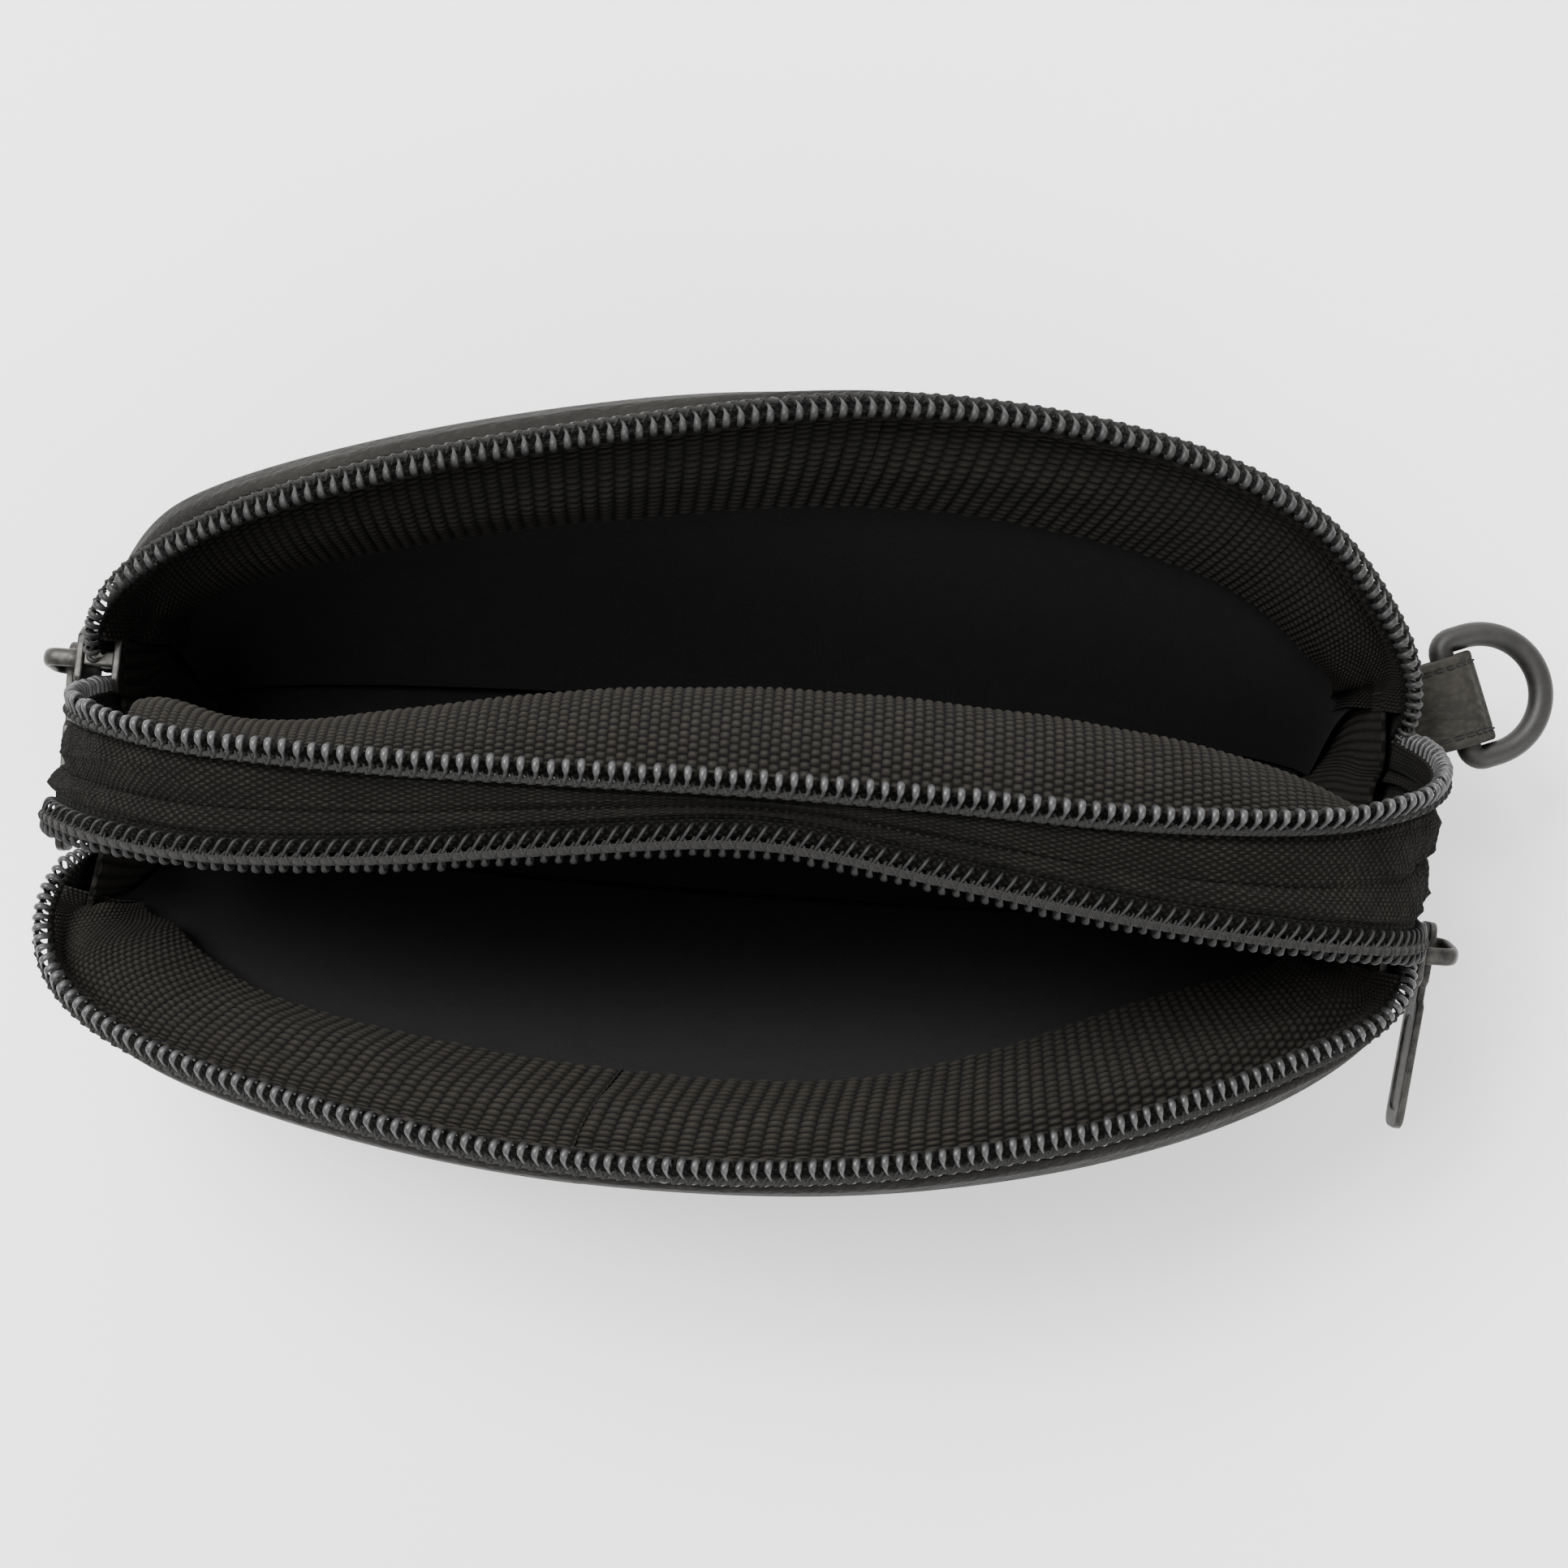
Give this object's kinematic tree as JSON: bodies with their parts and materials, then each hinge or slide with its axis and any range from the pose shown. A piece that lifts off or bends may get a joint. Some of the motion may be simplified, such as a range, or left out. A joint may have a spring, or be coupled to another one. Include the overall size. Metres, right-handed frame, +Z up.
{
  "type": "multi glasses organizer",
  "caption": "Zipped leather pouch for glasses, open at both mouths: padded partition, gusset between coil zips, sliders with long pulls, and a D-ring on a tab.",
  "frame": {"origin": "middle of the underside of the base, on the surface that the pouch stands on", "axes": "+Z up out of the mouths, +X along the pouch towards the D-ring, +Y towards the rear compartment"},
  "size_m": [0.2189, 0.1087, 0.0868],
  "materials": {
    "leather": "matte",
    "board": "matte",
    "felt": "matte",
    "webbing": "matte",
    "tape": "matte",
    "coil": "satin",
    "zinc": "satin",
    "ring": "matte"
  },
  "bodies": {
    "core": {"base_leather": "leather", "base_board": "board", "base_lining_rear": "felt", "base_lining_front": "felt", "partition_board": "board", "partition_lining_rear": "felt", "partition_lining_front": "felt", "partition_webbing_rear": "webbing", "partition_webbing_front": "webbing", "gusset_strip": "tape", "zip_end_stops": "zinc", "d_ring_tab": "leather", "rear_middle_tape": "tape", "rear_middle_coil": "coil", "front_middle_tape": "tape", "front_middle_coil": "coil"},
    "rear_panel": {"rear_panel_leather": "leather", "rear_panel_lining": "felt", "rear_panel_webbing": "webbing", "rear_rim_tape": "tape", "rear_rim_coil": "coil", "rear_panel_board": "board"},
    "rear_slider": {"rear_slider_body": "zinc", "rear_slider_bridge": "zinc"},
    "rear_pull": {"rear_slider_pull": "zinc"},
    "front_panel": {"front_panel_leather": "leather", "front_panel_lining": "felt", "front_panel_webbing": "webbing", "front_rim_tape": "tape", "front_rim_coil": "coil", "front_panel_board": "board"},
    "front_slider": {"front_slider_body": "zinc", "front_slider_bridge": "zinc"},
    "front_pull": {"front_slider_pull": "zinc"},
    "d_ring": {"d_ring": "ring"}
  },
  "joints": [
    {"name": "rear_panel_fold", "type": "hinge", "parent": "core", "child": "rear_panel", "pos_m": [0, 0.014, 0.004], "axis": [1, 0, 0], "range_deg": [0, 22], "deforming": ["rear_panel_leather", "rear_panel_lining", "rear_panel_webbing", "rear_rim_tape", "rear_rim_coil"]},
    {"name": "rear_slider_slide", "type": "slide", "parent": "core", "child": "rear_slider", "axis": [0, 0, 1], "range_m": [-0.005, 0.008]},
    {"name": "rear_pull_swing", "type": "hinge", "parent": "rear_slider", "child": "rear_pull", "pos_m": [-0.0995, 0.01251, 0.03253], "axis": [1, 0, 0], "range_deg": [-10, 130]},
    {"name": "front_panel_fold", "type": "hinge", "parent": "core", "child": "front_panel", "pos_m": [0, -0.014, 0.004], "axis": [-1, 0, 0], "range_deg": [0, 22], "deforming": ["front_panel_leather", "front_panel_lining", "front_panel_webbing", "front_rim_tape", "front_rim_coil"]},
    {"name": "front_slider_slide", "type": "slide", "parent": "core", "child": "front_slider", "axis": [0, 0, 1], "range_m": [-0.005, 0.008]},
    {"name": "front_pull_swing", "type": "hinge", "parent": "front_slider", "child": "front_pull", "pos_m": [0.0997, -0.01369, 0.03255], "axis": [1, 0, 0], "range_deg": [-30, 130]},
    {"name": "d_ring_swing", "type": "hinge", "parent": "core", "child": "d_ring", "pos_m": [0.10184, 0.02207, 0.031], "axis": [-0.3584, 0.9336, 0], "range_deg": [-70, 70]}
  ]
}
